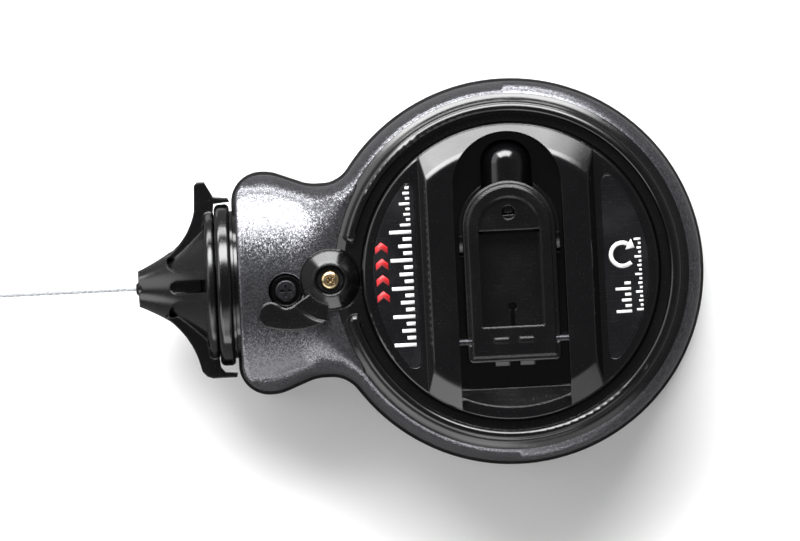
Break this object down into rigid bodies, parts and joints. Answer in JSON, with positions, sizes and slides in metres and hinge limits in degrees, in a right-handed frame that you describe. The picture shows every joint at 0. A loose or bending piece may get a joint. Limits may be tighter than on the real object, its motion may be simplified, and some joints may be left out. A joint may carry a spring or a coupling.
{
  "type": "chalk line reel",
  "caption": "Geared chalk line reel with a fold-out crank arm, brake lever, pull-off filling nozzle and a hooked marking line.",
  "frame": {"origin": "where the reel's axis meets the plane of the flat back face", "axes": "+Z along the reel's axis, out of the crank face; the line leaves the nozzle along -X; +Y is the way the folded knob points"},
  "size_m": [0.229, 0.11, 0.055],
  "materials": {
    "metallic_shell": "satin metallic",
    "black_gloss": "gloss",
    "black_satin": "satin",
    "gear_plastic": "satin",
    "spool_plastic": "satin",
    "label": "gloss",
    "steel": "bright zinc",
    "dark_steel": "black oxide",
    "brass": "bright",
    "rubber": "matt",
    "felt": "felt",
    "line": "twisted thread"
  },
  "bodies": {
    "housing": {"front_shell": "metallic_shell", "back_shell": "black_satin", "case_screws": "steel", "side_cover": "black_gloss", "gear_plate": "black_satin", "ring_gear": "gear_plastic", "ring_gear_screws": "steel", "spool_axle": "steel", "thrust_washer": "steel", "axle_seal": "felt", "cam_bracket": "steel", "neck_screw": "dark_steel", "neck_collar": "black_gloss", "line_run": "line"},
    "spool": {"spool_drum": "spool_plastic", "spool_back_flange": "spool_plastic", "line_wound": "line", "sun_gear": "gear_plastic"},
    "crank": {"crank_disc": "black_gloss", "planet_carrier": "black_satin", "planet_pins": "steel", "carrier_screws": "steel", "label_panel_left": "label", "label_panel_right": "label", "arm_hinge_pin": "steel"},
    "planet_1": {"planet_gear_1": "gear_plastic"},
    "planet_2": {"planet_gear_2": "gear_plastic"},
    "planet_3": {"planet_gear_3": "gear_plastic"},
    "arm": {"crank_arm": "black_gloss"},
    "knob_yoke": {"knob_bracket": "black_gloss", "knob_hinge_pins": "steel", "knob_axle": "steel"},
    "knob": {"crank_knob": "black_gloss"},
    "lever": {"brake_lever": "black_gloss", "lever_shaft": "steel", "lever_washer": "steel", "lever_screw": "brass", "brake_cam": "gear_plastic", "cam_sleeve": "rubber"},
    "nozzle_body": {"nozzle": "black_gloss", "nozzle_seal": "rubber", "line_guide": "dark_steel", "felt_wiper": "felt"},
    "line_end": {"line_out": "line", "hook_crimp": "steel", "line_hook": "steel"}
  },
  "joints": [
    {"name": "crank_turn", "type": "hinge", "parent": "housing", "child": "crank", "pos_m": [0, 0, 0], "axis": [0, 0, 1], "continuous": true},
    {"name": "spool_turn", "type": "hinge", "parent": "housing", "child": "spool", "pos_m": [0, 0, 0], "axis": [0, 0, 1], "continuous": true},
    {"name": "arm_fold", "type": "hinge", "parent": "crank", "child": "arm", "pos_m": [0, -0.0196, 0.0528], "axis": [1, 0, 0], "range_deg": [0, 180]},
    {"name": "knob_fold", "type": "hinge", "parent": "arm", "child": "knob_yoke", "pos_m": [0, 0.0105, 0.0448], "axis": [1, 0, 0], "range_deg": [-90, 0]},
    {"name": "knob_spin", "type": "hinge", "parent": "knob_yoke", "child": "knob", "pos_m": [0, 0.0162, 0.0448], "axis": [0, 1, 0], "continuous": true},
    {"name": "lever_turn", "type": "hinge", "parent": "housing", "child": "lever", "pos_m": [-0.0513, 0, 0.0476], "axis": [0, 0, 1], "range_deg": [-65, 0]},
    {"name": "nozzle_pull", "type": "slide", "parent": "housing", "child": "nozzle_body", "axis": [-1, 0, 0], "range_m": [0, 0.015]},
    {"name": "line_pull", "type": "slide", "parent": "housing", "child": "line_end", "axis": [-1, 0, 0], "range_m": [-0.043, 0.02], "deforming": ["line_run"]},
    {"name": "planet_1_spin", "type": "hinge", "parent": "crank", "child": "planet_1", "pos_m": [0, 0.01875, 0.0303], "axis": [0, 0, 1], "continuous": true},
    {"name": "planet_2_spin", "type": "hinge", "parent": "crank", "child": "planet_2", "pos_m": [-0.01624, -0.00937, 0.0303], "axis": [0, 0, 1], "continuous": true},
    {"name": "planet_3_spin", "type": "hinge", "parent": "crank", "child": "planet_3", "pos_m": [0.01624, -0.00937, 0.0303], "axis": [0, 0, 1], "continuous": true}
  ],
  "couplings": [
    {"joint": "spool_turn", "follows": "crank_turn", "ratio": 5},
    {"joint": "knob_fold", "follows": "arm_fold", "ratio": -0.5},
    {"joint": "planet_1_spin", "follows": "crank_turn", "ratio": -2.6667},
    {"joint": "planet_2_spin", "follows": "crank_turn", "ratio": -2.6667},
    {"joint": "planet_3_spin", "follows": "crank_turn", "ratio": -2.6667}
  ]
}
